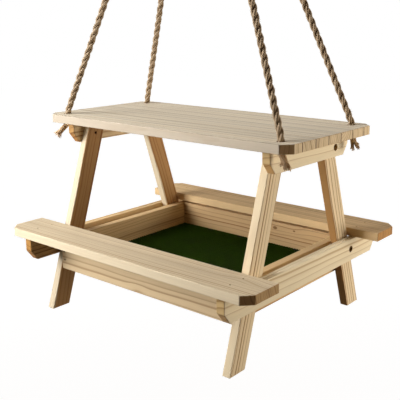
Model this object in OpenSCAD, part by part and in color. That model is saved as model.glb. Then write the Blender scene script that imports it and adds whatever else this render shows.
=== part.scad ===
// Hanging platform bird feeder in the shape of a picnic table.
// X runs along the benches, -Y is the front and +Z is up. The origin is the point
// inside the top of the ring where a hook bears, so everything hangs below it.

/* [Boards] */
// Thickness of every board
board_t = 12; // [10:0.5:14]

/* [Table top] */
// How far the top reaches past the cleats at each end
top_overhang = 34; // [26:1:50]
// Depth of the top, front to back
top_w = 204; // [180:2:240]
// Length of the cut at each corner of the top
top_clip = 13; // [5:1:20]

/* [End frames] */
// Clear distance between the left and the right legs
frame_gap = 324; // [280:2:400]
// Width of a leg, square to its length
leg_w = 28; // [22:1:34]
// Slope of the legs from upright, in degrees
leg_slope = 17.5; // [12:0.5:22]
// Distance between the outer edges of two legs, just under the top
leg_top_span = 136; // [120:2:150]
// Height of the legs, top to foot
leg_h = 268; // [240:2:320]
// How far a cleat stops short of the edge of the top
cleat_inset = 12; // [4:1:16]
// Height of a cleat
cleat_h = 30; // [26:1:38]
// Length of the cut at a cleat's lower corners
cleat_cut_l = 11; // [4:1:18]
// Height of the cut at a cleat's lower corners
cleat_cut_h = 14.5; // [6:0.5:22]
// Height of a cross brace
brace_h = 32; // [28:1:40]
// How far a cross brace stops short of the outer edge of a bench
brace_inset = 2; // [0:0.5:8]
// Length of the cut at a cross brace's lower corners
brace_cut_l = 10.5; // [4:0.5:16]
// Height of the cut at a cross brace's lower corners
brace_cut_h = 14; // [6:0.5:22]

/* [Benches] */
// Height from the upper face of a bench to the upper face of the top
bench_drop = 158; // [140:2:180]
// How far a bench reaches past the cross braces at each end
bench_overhang = 36; // [20:1:50]
// Width of a bench
bench_w = 58; // [50:1:70]
// Length of the cut at a bench's outer corners
bench_clip = 13; // [5:1:20]
// Gap between a bench's inner edge and the legs
bench_leg_gap = 2; // [0.5:0.5:6]

/* [Seed tray] */
// Height of the tray's boards
tray_h = 49; // [42:1:60]
// Gap between the tray's upper edge and the benches
tray_gap = 3; // [0.5:0.5:6]
// Width and height of the square battens that carry the screen
batten = 12; // [9:0.5:14]
// Thickness of the screen
screen_t = 1.2; // [0.8:0.1:2]
// Width of a bar of the screen
screen_bar = 2; // [1.2:0.1:3]
// Number of gaps along the screen
screen_nx = 19; // [11:2:19]
// Number of gaps across the screen
screen_ny = 15; // [9:2:15]
// Gap between the screen and the tray's boards
screen_gap = 0.5; // [0.2:0.1:1.5]

/* [Screws] */
// Diameter of a screw's shank
screw_d = 4.2; // [3:0.1:5]
// Diameter of a screw's head
screw_head_d = 8; // [6:0.1:9]
// Thickness of a screw's head
screw_head_t = 2.6; // [2:0.1:3.5]
// Diameter of the counterbore that a screw's head sits in
counterbore_d = 9.5; // [9.2:0.1:12]
// Depth of the counterbores in the cleats' and braces' outer faces
counterbore_depth = 6; // [4.6:0.1:6.6]
// Depth of the counterbores in the cleats' lower edges
deep_counterbore = 12; // [6:0.5:16]
// Height of a cleat screw below the underside of the top
cleat_screw_drop = 17; // [12:0.5:18]
// How far a cleat screw's tip comes out of the leg
cleat_screw_out = 0.8; // [0:0.1:2]
// Height of a brace screw below the upper edge of the brace
brace_screw_drop = 14.5; // [12:0.5:18]
// How deep a brace screw goes into the tray's end board
brace_screw_bite = 9; // [6:0.5:9.5]
// How deep a top screw goes into the top
top_screw_bite = 8; // [5:0.5:9]
// Distance between the two top screws of a cleat
top_screw_gap = 50; // [40:1:60]

/* [Nails, brads and staples] */
// Diameter of a nail's shank
nail_d = 1.8; // [1.4:0.1:2.2]
// Diameter of a nail's head
nail_head_d = 2.6; // [2.2:0.1:4.4]
// Length of a nail
nail_l = 28; // [20:1:32]
// Thickness of a nail's head
nail_head_t = 0.8; // [0.5:0.1:1.2]
// How deep a nail's head is set below the wood's face
nail_set = 0.6; // [0:0.1:1]
// Distance from a bench's inner edge to its first nail
bench_nail_in = 13.5; // [10:0.5:18]
// Distance between the two nails at a bench's end
bench_nail_gap = 24.5; // [16:0.5:28]
// Distance from the tray's upper edge to the first tray nail
tray_nail_drop = 22; // [18:0.5:26]
// Distance between the two nails at the end of a tray side
tray_nail_gap = 13; // [8:0.5:18]
// Diameter of a brad
brad_d = 1.4; // [1:0.1:1.8]
// How deep a brad goes into the tray's boards
brad_bite = 7; // [5:0.5:8]
// Distance from a batten's end to its brad
brad_inset = 38; // [24:1:44]
// Thickness of a staple's wire
staple_wire = 1; // [0.7:0.1:1.3]
// Width of a staple
staple_w = 10; // [8:0.5:11]
// Depth of a staple's legs in the batten
staple_bite = 6; // [4:0.5:7]

/* [Ropes and ring] */
// Height from the upper face of the top to the hook's bearing point in the ring
hang_drop = 625; // [615:1:635]
// Diameter of a rope
rope_d = 9.5; // [8:0.1:10]
// Diameter of the holes that the ropes come up through
rope_hole_d = 12; // [11:0.5:13]
// Distance from the long edge of the top to a rope hole
rope_hole_inset = 20; // [16:1:26]
// Diameter of the pockets that the knots are drawn up into
pocket_d = 19; // [18:0.5:21]
// Depth of the pockets
pocket_depth = 7; // [5:0.5:8]
// Least wood between a pocket and the cleat beside it
pocket_wall = 0.5; // [0.5:0.5:3]
// Diameter of a stopper knot
knot_d = 17; // [16:0.5:17.5]
// Height of a stopper knot
knot_h = 10; // [8:0.5:12]
// Radius of the two turns of strand round a knot
knot_turn = 2.2; // [1.5:0.1:2.4]
// Diameter of the loose rope end under a knot
tail_d = 7; // [5:0.5:8]
// Diameter of the ring, from wire centre to wire centre
ring_d = 60; // [56:1:70]
// Thickness of the ring's wire
ring_wire = 6; // [5:0.5:6]
// Diameter of the seizing's twine
twine_d = 2.5; // [2:0.1:2.8]
// Rise of the seizing's twine in one turn
twine_pitch = 3; // [2.9:0.1:3.2]
// Number of turns in the seizing
twine_turns = 8; // [4:1:8]

/* [Hidden] */

$fn = 32;
// Clearance round a shank or a head in its hole
fit = 0.05;
// Overshoot of a cut past the face it opens
over = 1;

// Levels, from the top down
top_z = -hang_drop;
top_under = top_z - board_t;
foot_z = top_under - leg_h;
bench_z = top_z - bench_drop;
brace_z = bench_z - board_t;
tray_z = brace_z - tray_gap;
tray_foot_z = tray_z - tray_h;
batten_z = tray_foot_z + batten;

// Places along X, outwards from the middle
leg_x = frame_gap / 2;
cleat_x = leg_x + board_t;
frame_x = cleat_x + board_t;
top_x = frame_x + top_overhang;
bench_x = frame_x + bench_overhang;
tray_in_x = leg_x - board_t;
rope_hole_x = frame_x + pocket_wall + pocket_d / 2;

// Places along Y, outwards from the middle
leg_run = tan(leg_slope);
leg_level_w = leg_w / cos(leg_slope);
function leg_out_y(z) = leg_top_span / 2 + (top_under - z) * leg_run;
function leg_mid_y(z) = leg_out_y(z) - leg_level_w / 2;
bench_in_y = leg_out_y(brace_z) + bench_leg_gap;
bench_out_y = bench_in_y + bench_w;
tray_out_y = bench_in_y + board_t;
cleat_l = top_w - 2 * cleat_inset;
brace_l = 2 * (bench_out_y - brace_inset);
rope_hole_y = top_w / 2 - rope_hole_inset;

// Heights and lengths of the fasteners
cleat_screw_z = top_under - cleat_screw_drop;
brace_screw_z = brace_z - brace_screw_drop;
top_screw_z = top_under - cleat_h + deep_counterbore;
cleat_screw_l = 2 * board_t - counterbore_depth + cleat_screw_out;
brace_screw_l = 2 * board_t - counterbore_depth + brace_screw_bite;
top_screw_l = cleat_h - deep_counterbore + top_screw_bite;
nail_row_y = [bench_in_y + bench_nail_in, bench_in_y + bench_nail_in + bench_nail_gap];
nail_row_z = [tray_z - tray_nail_drop, tray_z - tray_nail_drop - tray_nail_gap];
side_brad_x = tray_in_x - brad_inset;
end_brad_y = bench_in_y - batten - brad_inset;
brad_l = batten + brad_bite;

// The screen and the bars that its staples straddle, as shares of the way across
staple_shares_x = [0.21, 0.42];
staple_share_y = 0.33;
screen_l = 2 * (tray_in_x - screen_gap);
screen_w = 2 * (bench_in_y - screen_gap);
screen_px = (screen_l - screen_bar) / screen_nx;
screen_py = (screen_w - screen_bar) / screen_ny;
staple_xs = [for (share = staple_shares_x) (round(share * screen_nx) - screen_nx / 2) * screen_px];
staple_y = (round(staple_share_y * screen_ny) - screen_ny / 2) * screen_py;

// Route of one rope, from its knot up to the middle of the eye, for the back right corner.
// The other three are its mirror images.
rope_route = [
    [196, 82, -630], [196, 82, -626], [194, 81, -617],
    [8, 6, -148], [5.7, 5.2, -140.5], [4.9, 4.9, -132], [4.9, 4.9, -101],
    [4.9, 7, -91.3], [4.9, 13.1, -83.1], [4.9, 18.1, -76.4], [4.9, 20, -68],
    [4.9, 18.5, -60.3], [4.9, 14.1, -53.9], [4.9, 7.7, -49.5], [4.9, 0, -48]
];
// Longest step between two rings of a rope, past which a straight run is divided
rope_step = 80;
rope_sides = 10;
// Route of a loose rope end, from the middle of the knot's underside
tail_route = [
    [0, 0, 0], [0.5, 0, -4], [2, 0.5, -8.5], [4.5, 1, -13], [7.5, 2, -17], [10, 2.5, -20]
];
tail_sides = 8;

// The bundle inside the seizing: four ropes, each this far from the middle in X and Y
bundle = 4.9;
// Gap between the bundle and its twine
twine_fit = 0.3;
seizing_z = -130;
twine_round = rope_d / 2 + twine_fit + twine_d / 2;
twine_steps = 16;
twine_sides = 6;

function unit(v) = v / norm(v);
function flipped(points, sx, sy) = [for (p = points) [p[0] * sx, p[1] * sy, p[2]]];

// A route with its long straight runs divided into equal steps
function divided(points, step) = concat(
    [for (i = [0:len(points) - 2])
        let (a = points[i], b = points[i + 1], n = max(1, ceil(norm(b - a) / step)))
        for (k = [0:n - 1]) a + (b - a) * k / n],
    [points[len(points) - 1]]
);

// Direction of a route at point i; the first and last rings stand square to first and last
function heading(points, i, first, last) =
    i == 0 ? first
    : i == len(points) - 1 ? last
    : unit(unit(points[i] - points[i - 1]) + unit(points[i + 1] - points[i]));

// A closed round tube along a route: every ring is turned about the side vector
module tube(points, d, sides, side, first, last) {
    rings = [for (i = [0:len(points) - 1])
        let (t = heading(points, i, first, last), u = unit(cross(side, t)), w = cross(t, u))
        for (k = [0:sides - 1])
            let (a = 360 * (k + 0.5) / sides)
            points[i] + d / 2 * (u * cos(a) + w * sin(a))];
    n = len(points);
    walls = [for (i = [0:n - 2]) for (k = [0:sides - 1])
        let (a = i * sides + k, b = i * sides + (k + 1) % sides)
        for (face = [[a, a + sides, b], [b, a + sides, b + sides]]) face];
    ends = [[for (k = [0:sides - 1]) k], [for (k = [0:sides - 1]) n * sides - 1 - k]];
    polyhedron(rings, concat(walls, ends));
}

// Point k of the twine's centre line: a rounded square that climbs as it goes round
function twine_point(k) =
    let (a = 360 * (k + 0.5) / twine_steps)
    [bundle * sign(cos(a)) + twine_round * cos(a),
     bundle * sign(sin(a)) + twine_round * sin(a),
     seizing_z + twine_pitch * k / twine_steps];
twine_line = [for (k = [0:twine_turns * twine_steps]) twine_point(k)];
twine_gap = min([for (i = [0:len(twine_line) - 1])
    for (j = [i + twine_steps / 2:1:len(twine_line) - 1])
        norm(twine_line[i] - twine_line[j])]) - twine_d;

// Turns a piece that points up so that it points outwards along X or along Y
module face_x(sx) { rotate([0, sx * 90, 0]) children(); }
module face_y(sy) { rotate([-sy * 90, 0, 0]) children(); }

// One board of an end frame, from its outline in Y and Z, with its inner face at x
module frame_board(sx, x) {
    translate([sx > 0 ? x : -x - board_t, 0, 0])
        rotate([90, 0, 90])
            linear_extrude(board_t) children();
}

// Outline of a board that hangs below z, with its two lower corners cut
module cut_outline(l, h, cut_l, cut_h, z) {
    polygon([
        [-l / 2, z], [l / 2, z], [l / 2, z - h + cut_h], [l / 2 - cut_l, z - h],
        [cut_l - l / 2, z - h], [-l / 2, z - h + cut_h]
    ]);
}

// A screw that points down from its head's seat at the origin
module screw(l) {
    tip = screw_d;
    cylinder(d = screw_head_d, h = screw_head_t);
    translate([0, 0, tip - l]) cylinder(d = screw_d, h = l - tip);
    translate([0, 0, -l]) cylinder(d1 = screw_d / 8, d2 = screw_d, h = tip);
}

// The hole for a screw: its counterbore above the seat and its shank below
module screw_hole(l, depth) {
    cylinder(d = counterbore_d, h = depth + over);
    translate([0, 0, -l - fit]) cylinder(d = screw_d + 2 * fit, h = l + 2 * fit);
}

// A nail that points down from the wood's face, with its head set just below it
module nail() {
    translate([0, 0, -nail_set - nail_head_t]) cylinder(d = nail_head_d, h = nail_head_t);
    translate([0, 0, -nail_l]) cylinder(d1 = nail_d / 3, d2 = nail_d, h = nail_d);
    translate([0, 0, nail_d - nail_l])
        cylinder(d = nail_d, h = nail_l - nail_d - nail_set - nail_head_t);
}

module nail_hole() {
    translate([0, 0, -nail_set - nail_head_t]) cylinder(d = nail_head_d + 2 * fit, h = nail_l);
    translate([0, 0, -nail_l - fit]) cylinder(d = nail_d + 2 * fit, h = nail_l);
}

// A headless brad that points down from the batten's face
module brad(extra) {
    translate([0, 0, -brad_l - extra]) cylinder(d = brad_d + 2 * extra, h = brad_l + 2 * extra);
}

// A staple whose crown lies on the screen, with its legs down in the batten
module staple(extra) {
    wire = staple_wire + 2 * extra;
    leg = staple_bite + screen_t + staple_wire;
    for (x = [-1, 1] * (staple_w - staple_wire) / 2)
        translate([x - wire / 2, -wire / 2, screen_t + staple_wire - leg - extra])
            cube([wire, wire, leg]);
    translate([-staple_w / 2, -staple_wire / 2, screen_t]) cube([staple_w, staple_wire, staple_wire]);
}

// Places of the fasteners, each a copy of what follows
module at_cleat_screws(sx) {
    for (sy = [-1, 1])
        translate([sx * (frame_x - counterbore_depth), sy * leg_mid_y(cleat_screw_z), cleat_screw_z])
            face_x(sx) children();
}
module at_brace_screws(sx) {
    for (sy = [-1, 1])
        translate([sx * (frame_x - counterbore_depth), sy * leg_mid_y(brace_screw_z), brace_screw_z])
            face_x(sx) children();
}
module at_top_screws(sx) {
    for (sy = [-1, 1])
        translate([sx * (cleat_x + board_t / 2), sy * top_screw_gap / 2, top_screw_z])
            rotate([180, 0, 0]) children();
}
module at_bench_nails(sy) {
    for (sx = [-1, 1]) for (y = nail_row_y)
        translate([sx * (cleat_x + board_t / 2), sy * y, bench_z]) children();
}
module at_tray_nails(sy) {
    for (sx = [-1, 1]) for (z = nail_row_z)
        translate([sx * (tray_in_x + board_t / 2), sy * tray_out_y, z]) face_y(sy) children();
}
module at_side_brads(sy) {
    for (sx = [-1, 1])
        translate([sx * side_brad_x, sy * (bench_in_y - batten), batten_z - batten / 2])
            face_y(-sy) children();
}
module at_end_brads(sx) {
    for (sy = [-1, 1])
        translate([sx * (tray_in_x - batten), sy * end_brad_y, batten_z - batten / 2])
            face_x(-sx) children();
}
module at_side_staples(sy) {
    for (sx = [-1, 1]) for (x = staple_xs)
        translate([sx * x, sy * (bench_in_y - batten / 2), batten_z]) children();
}
module at_end_staples(sx) {
    for (sy = [-1, 1])
        translate([sx * (tray_in_x - batten / 2), sy * staple_y, batten_z]) rotate([0, 0, 90]) children();
}
module at_rope_holes() {
    for (sx = [-1, 1]) for (sy = [-1, 1])
        translate([sx * rope_hole_x, sy * rope_hole_y, 0]) children();
}

module table_top() {
    x = top_x;
    y = top_w / 2;
    c = top_clip;
    color("burlywood") difference() {
        translate([0, 0, top_under]) linear_extrude(board_t)
            polygon([
                [x - c, y], [c - x, y], [-x, y - c], [-x, c - y],
                [c - x, -y], [x - c, -y], [x, c - y], [x, y - c]
            ]);
        at_rope_holes() {
            translate([0, 0, top_under - over]) cylinder(d = rope_hole_d, h = board_t + 2 * over);
            translate([0, 0, top_under - over]) cylinder(d = pocket_d, h = pocket_depth + over);
        }
        for (sx = [-1, 1]) at_top_screws(sx) screw_hole(top_screw_l, deep_counterbore);
    }
}

module top_cleat(sx) {
    color("burlywood") difference() {
        frame_board(sx, cleat_x) cut_outline(cleat_l, cleat_h, cleat_cut_l, cleat_cut_h, top_under);
        at_cleat_screws(sx) screw_hole(cleat_screw_l, counterbore_depth);
        at_top_screws(sx) screw_hole(top_screw_l, deep_counterbore);
    }
}

module leg(sx, sy) {
    color("tan") difference() {
        frame_board(sx, leg_x)
            polygon([
                [sy * (leg_out_y(top_under) - leg_level_w), top_under],
                [sy * leg_out_y(top_under), top_under],
                [sy * leg_out_y(foot_z), foot_z],
                [sy * (leg_out_y(foot_z) - leg_level_w), foot_z]
            ]);
        at_cleat_screws(sx) screw_hole(cleat_screw_l + over, counterbore_depth);
        at_brace_screws(sx) screw_hole(brace_screw_l, counterbore_depth);
    }
}

module cross_brace(sx) {
    color("burlywood") difference() {
        frame_board(sx, cleat_x) cut_outline(brace_l, brace_h, brace_cut_l, brace_cut_h, brace_z);
        at_brace_screws(sx) screw_hole(brace_screw_l, counterbore_depth);
        for (sy = [-1, 1]) at_bench_nails(sy) nail_hole();
    }
}

module bench(sy) {
    c = bench_clip;
    color("burlywood") difference() {
        translate([0, 0, bench_z - board_t]) linear_extrude(board_t)
            polygon([
                [-bench_x, sy * bench_in_y], [bench_x, sy * bench_in_y],
                [bench_x, sy * (bench_out_y - c)], [bench_x - c, sy * bench_out_y],
                [c - bench_x, sy * bench_out_y], [-bench_x, sy * (bench_out_y - c)]
            ]);
        at_bench_nails(sy) nail_hole();
    }
}

module tray_side(sy) {
    color("tan") difference() {
        translate([-leg_x, sy > 0 ? bench_in_y : -tray_out_y, tray_foot_z])
            cube([2 * leg_x, board_t, tray_h]);
        at_tray_nails(sy) nail_hole();
        at_side_brads(sy) brad(fit);
    }
}

module tray_end(sx) {
    color("tan") difference() {
        translate([sx > 0 ? tray_in_x : -leg_x, -bench_in_y, tray_foot_z])
            cube([board_t, 2 * bench_in_y, tray_h]);
        at_brace_screws(sx) screw_hole(brace_screw_l, counterbore_depth);
        for (sy = [-1, 1]) at_tray_nails(sy) nail_hole();
        at_end_brads(sx) brad(fit);
    }
}

// Battens under the long edges of the screen run between the tray's end boards
module side_batten(sy) {
    color("wheat") difference() {
        translate([-tray_in_x, sy > 0 ? bench_in_y - batten : -bench_in_y, tray_foot_z])
            cube([2 * tray_in_x, batten, batten]);
        at_side_brads(sy) brad(fit);
        at_side_staples(sy) staple(fit);
    }
}

// Battens under the short edges run between the other two
module end_batten(sx) {
    l = 2 * (bench_in_y - batten);
    color("wheat") difference() {
        translate([sx > 0 ? tray_in_x - batten : -tray_in_x, -l / 2, tray_foot_z])
            cube([batten, l, batten]);
        at_end_brads(sx) brad(fit);
        at_end_staples(sx) staple(fit);
    }
}

module tray_screen() {
    color("darkgreen") translate([0, 0, batten_z]) linear_extrude(screen_t) difference() {
        square([screen_l, screen_w], center = true);
        for (i = [0:screen_nx - 1]) for (j = [0:screen_ny - 1])
            translate([(i + 0.5 - screen_nx / 2) * screen_px, (j + 0.5 - screen_ny / 2) * screen_py])
                square([screen_px - screen_bar, screen_py - screen_bar], center = true);
    }
}

module cleat_screws() {
    color("dimgray") for (sx = [-1, 1]) at_cleat_screws(sx) screw(cleat_screw_l);
}

module brace_screws() {
    color("dimgray") for (sx = [-1, 1]) at_brace_screws(sx) screw(brace_screw_l);
}

module top_screws() {
    color("dimgray") for (sx = [-1, 1]) at_top_screws(sx) screw(top_screw_l);
}

module bench_nails() {
    color("dimgray") for (sy = [-1, 1]) at_bench_nails(sy) nail();
}

module tray_nails() {
    color("dimgray") for (sy = [-1, 1]) at_tray_nails(sy) nail();
}

module batten_brads() {
    color("dimgray") {
        for (sy = [-1, 1]) at_side_brads(sy) brad(0);
        for (sx = [-1, 1]) at_end_brads(sx) brad(0);
    }
}

module screen_staples() {
    color("silver") {
        for (sy = [-1, 1]) at_side_staples(sy) staple(0);
        for (sx = [-1, 1]) at_end_staples(sx) staple(0);
    }
}

// The ring stands upright along X; its lowest point carries the rope eyes
module hanging_ring() {
    color("silver") translate([0, 0, ring_wire / 2 - ring_d / 2]) rotate([90, 0, 0])
        rotate_extrude($fn = 64) translate([ring_d / 2, 0]) circle(d = ring_wire);
}

module twine_seizing() {
    echo(twine_gap = twine_gap);
    n = len(twine_line);
    color("peru") tube(
        twine_line, twine_d, twine_sides, [0, 0, 1],
        unit(twine_line[1] - twine_line[0]), unit(twine_line[n - 1] - twine_line[n - 2])
    );
}

module rope(sx, sy) {
    color("peru") tube(
        divided(flipped(rope_route, sx, sy), rope_step), rope_d, rope_sides, [1, 0, 0],
        [0, 0, 1], [0, -sy, 0]
    );
}

// A wall knot made of the rope's own strands, which bears on the ceiling of its pocket,
// and the loose end under it
module knot(sx, sy) {
    foot = top_under + pocket_depth - knot_h;
    color("peru") translate([sx * rope_hole_x, sy * rope_hole_y, foot]) {
        cylinder(r = knot_d / 2 - knot_turn / 2, h = knot_h);
        for (z = [knot_h / 4, 3 * knot_h / 4]) translate([0, 0, z])
            rotate_extrude() translate([knot_d / 2 - knot_turn, 0]) circle(r = knot_turn);
        tube(flipped(tail_route, sx, sy), tail_d, tail_sides, [0, 1, 0], [0, 0, -1], unit([sx, 0, -1]));
    }
}

table_top();
top_cleat(-1);  // top_cleat_left
top_cleat(1);  // top_cleat_right
leg(-1, -1);  // leg_front_left
leg(1, -1);  // leg_front_right
leg(-1, 1);  // leg_back_left
leg(1, 1);  // leg_back_right
cross_brace(-1);  // cross_brace_left
cross_brace(1);  // cross_brace_right
bench(-1);  // bench_front
bench(1);  // bench_back
tray_side(-1);  // tray_side_front
tray_side(1);  // tray_side_back
tray_end(-1);  // tray_end_left
tray_end(1);  // tray_end_right
side_batten(-1);  // batten_front
side_batten(1);  // batten_back
end_batten(-1);  // batten_left
end_batten(1);  // batten_right
tray_screen();
cleat_screws();
brace_screws();
top_screws();
bench_nails();
tray_nails();
batten_brads();
screen_staples();
hanging_ring();
twine_seizing();
rope(-1, -1);  // rope_front_left
rope(1, -1);  // rope_front_right
rope(-1, 1);  // rope_back_left
rope(1, 1);  // rope_back_right
knot(-1, -1);  // knot_front_left
knot(1, -1);  // knot_front_right
knot(-1, 1);  // knot_back_left
knot(1, 1);  // knot_back_right
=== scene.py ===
# %% [markdown]
# # A hanging platform bird feeder, shaped like a picnic table
# The real thing is pale pine, screwed and nailed together, with a dark green screen as the
# floor of its seed tray and four jute ropes that run up to one steel ring.
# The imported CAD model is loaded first. It fixes every size and place, so each piece made
# here goes where its CAD node is, and only adds what the eye wants: grain, eased edges,
# laid rope, woven wire.

# %% The frame
from functools import partial
from math import atan2, cos, pi, radians, sin, sqrt

import bmesh
import bpy
import numpy as np
from mathutils import Matrix, Vector


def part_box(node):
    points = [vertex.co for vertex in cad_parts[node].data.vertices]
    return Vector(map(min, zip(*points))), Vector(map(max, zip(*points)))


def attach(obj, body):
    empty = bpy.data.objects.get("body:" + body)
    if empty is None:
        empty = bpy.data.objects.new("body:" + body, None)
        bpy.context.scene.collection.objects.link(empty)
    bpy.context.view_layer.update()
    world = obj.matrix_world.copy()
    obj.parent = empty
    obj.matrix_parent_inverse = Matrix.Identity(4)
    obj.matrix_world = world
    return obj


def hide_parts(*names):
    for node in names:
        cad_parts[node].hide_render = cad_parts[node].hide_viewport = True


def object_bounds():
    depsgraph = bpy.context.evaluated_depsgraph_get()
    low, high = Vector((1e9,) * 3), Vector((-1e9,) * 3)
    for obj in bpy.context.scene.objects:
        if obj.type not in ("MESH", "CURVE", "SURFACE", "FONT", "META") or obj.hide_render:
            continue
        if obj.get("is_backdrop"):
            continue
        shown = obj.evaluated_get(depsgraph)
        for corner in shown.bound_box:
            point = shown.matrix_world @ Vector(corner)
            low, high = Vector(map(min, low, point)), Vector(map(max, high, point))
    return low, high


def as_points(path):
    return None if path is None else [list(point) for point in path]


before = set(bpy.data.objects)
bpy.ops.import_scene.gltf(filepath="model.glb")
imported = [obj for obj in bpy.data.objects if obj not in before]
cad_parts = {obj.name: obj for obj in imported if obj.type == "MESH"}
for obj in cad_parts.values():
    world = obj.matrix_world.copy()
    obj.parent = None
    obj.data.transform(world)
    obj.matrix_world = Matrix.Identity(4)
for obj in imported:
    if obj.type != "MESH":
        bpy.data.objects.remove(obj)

MM = 0.001
cad_box = [list(corner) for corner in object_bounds()]
print("CAD box in mm:", [[round(value / MM) for value in corner] for corner in cad_box])

# %% [markdown]
# Small helpers carry the rest of the script. Colours are written as they look on
# screen, as sRGB hex, but Blender's shaders count in linear light, so one function turns
# them. Another adds any node to a tree, sets it up, links it, and hands back the socket
# that the next node wants. A node goes by its short name, so Math is ShaderNodeMath, and
# a second word is its operation. A Map Range's list is the value, the range that it comes
# from and the range that it goes to.

# %% Colours and nodes
FAMILIES = ("ShaderNode", "GeometryNode", "FunctionNode", "Node")
IN_COLOUR = {"out": 2, "data_type": "RGBA"}
SOFTLY = {"interpolation_type": "SMOOTHSTEP"}


def linear(code):
    """The linear colour, with alpha, of an sRGB hex code."""
    parts = [int(code[i:i + 2], 16) / 255 for i in (1, 3, 5)]
    return (*(c / 12.92 if c <= 0.04045 else ((c + 0.055) / 1.055) ** 2.4 for c in parts), 1.0)


def add_node(tree, kind, inputs=(), out=0, stops=(), **settings):
    """Adds a node to a tree and returns its socket `out`.

    inputs holds values or sockets, in order as a list, or by name or number. A value that
    is a list is several sockets for one input.
    """
    kind, *operation = kind.split()
    full_name = next(family + kind for family in FAMILIES if hasattr(bpy.types, family + kind))
    made = tree.nodes.new(full_name)
    if operation:
        made.operation = operation[0]
    for name, value in settings.items():
        setattr(made, name, value)
    for place, (position, shade) in enumerate(stops):
        ramp = made.color_ramp.elements
        stop = ramp[place] if place < 2 else ramp.new(position)
        stop.position = position
        stop.color = [shade, shade, shade, 1.0] if isinstance(shade, float) else linear(shade)
    for name, value in inputs.items() if isinstance(inputs, dict) else enumerate(inputs):
        for source in value if isinstance(value, list) else [value]:
            if isinstance(source, bpy.types.NodeSocket):
                tree.links.new(source, made.inputs[name])
            else:
                made.inputs[name].default_value = source
    return made.outputs[out] if len(made.outputs) else made


def adder(block):
    """Empties the node tree of a material or world, and returns what adds nodes to it."""
    block.use_nodes = True
    block.node_tree.nodes.clear()
    return partial(add_node, block.node_tree)


def new_material(name):
    """An empty material, and what adds nodes to it."""
    material = bpy.data.materials.new(name)
    return material, adder(material)


def new_object(name, data):
    """A new object in the scene."""
    made = bpy.data.objects.new(name, data)
    bpy.context.scene.collection.objects.link(made)
    return made


print("pine's pale wood in linear light:", [round(c, 2) for c in linear("#e4cfa6")[:3]])

# %% [markdown]
# The camera stands in front of the feeder's right end, a little above the table top.
# Its place, lens and shift come from a fit of some sixty corners of the boards. The
# photograph is a crop, so its middle isn't where the lens pointed, and the small shift
# makes up for that.

# %% Camera
IMAGE = 400
LENS_PIXELS = 714.2
OPTICAL_CENTRE = (250, 158)
CAMERA_PLACE = (0.6723, -0.7550, -0.4790)
AZIMUTH = radians(37.82)
LOOKING_DOWN = radians(11.39)
SENSOR = 36


def place_camera():
    """Creates the camera at the photograph's viewpoint."""
    data = bpy.data.cameras.new("camera")
    data.sensor_width = SENSOR
    data.lens = LENS_PIXELS * SENSOR / IMAGE
    data.shift_x = (IMAGE / 2 - OPTICAL_CENTRE[0]) / IMAGE
    data.shift_y = (OPTICAL_CENTRE[1] - IMAGE / 2) / IMAGE
    camera = new_object("camera", data)
    camera.location = CAMERA_PLACE
    camera.rotation_euler = (pi / 2 - LOOKING_DOWN, 0, AZIMUTH)
    bpy.context.scene.camera = camera
    return data


lens = place_camera()
print(f"lens {lens.lens:.1f} mm, shift {lens.shift_x:.3f}, {lens.shift_y:.3f}")

# %% [markdown]
# The light is that of a small studio. A softbox stands close by the front left corner, so
# the front edges are the brightest faces and fade to the right. A grid before it narrows
# its light, so that the feeder isn't burnt out when it swings towards the lamp. A larger
# softbox hangs above it for the flat faces. A low warm one behind the right end lights the
# end frame even under the top, and a high one behind reaches the back bench. The cut
# corners face the camera, between the lamps, and stay dark.

# %% Lamps
TARGET = (0, 0, -0.75)
FRONT_EDGE = (-0.08, -0.10, -0.60)
GRID = 90


def soft_lamp(name, place, size, watts, colour, aim=TARGET, spread=180):
    """A square lamp aimed at a point, and left out of the picture; spread is in degrees."""
    data = bpy.data.lights.new(name, "AREA")
    data.size = size
    data.spread = radians(spread)
    data.energy = watts
    data.color = linear(colour)[:3]
    lamp = new_object(name, data)
    lamp.location = place
    lamp.rotation_euler = (Vector(aim) - Vector(place)).to_track_quat("-Z", "Y").to_euler()
    lamp.visible_camera = False


soft_lamp("gridded_softbox", (-0.56, -0.68, -0.50), 0.45, 2.85, "#f6f8ff", FRONT_EDGE, GRID)
soft_lamp("front_softbox", (-0.50, -1.10, -0.75), 0.70, 2.3, "#faf7f0")
soft_lamp("high_left_softbox", (-0.70, -0.80, 0.25), 0.90, 11.3, "#fcfcff")
soft_lamp("high_back_softbox", (0.40, 1.25, 0.10), 0.80, 6.0, "#ffffff")
soft_lamp("low_right_softbox", (1.10, 0.78, -0.80), 0.70, 14.0, "#fff6ea")
print("lamps in watts:", {lamp.name: lamp.energy for lamp in bpy.data.lights})

# %% [markdown]
# The background is white because the world and the floor glow for the camera alone, and
# for mirrored rays, so steel shows white too. What really lights the object from them is
# little: a faint warm fill, and what the floor throws back. The floor's glow stays a
# little under white near the feeder, so that its soft shadow can be seen.

# %% World and floor
AMBIENT = 0.035
FLOOR_DROP = 1.1
FLOOR_HALF = 12.0
FLOOR_GLOW = 0.93
GLOW_NEAR = 0.8
GLOW_FAR = 3.0


def seen_ray(add):
    """1 where a ray shows the surroundings themselves: straight, mirrored or through glass."""
    rays = add("LightPath").node.outputs
    mirrored = add("Math MAXIMUM", [rays["Is Glossy Ray"], rays["Is Transmission Ray"]])
    return add("Math MAXIMUM", [rays["Is Camera Ray"], mirrored])


def light_world():
    """White where it is seen, and a dim warm fill where it only lights."""
    world = bpy.data.worlds.new("studio")
    bpy.context.scene.world = world
    add = adder(world)
    seen = seen_ray(add)
    colour = add("Mix", {0: seen, 6: linear("#ffbc80"), 7: (1, 1, 1, 1)}, **IN_COLOUR)
    strength = add("Math MULTIPLY_ADD", [seen, 1 - AMBIENT, AMBIENT])
    sky = add("Background", {"Color": colour, "Strength": strength})
    add("OutputWorld", {"Surface": sky})


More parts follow.
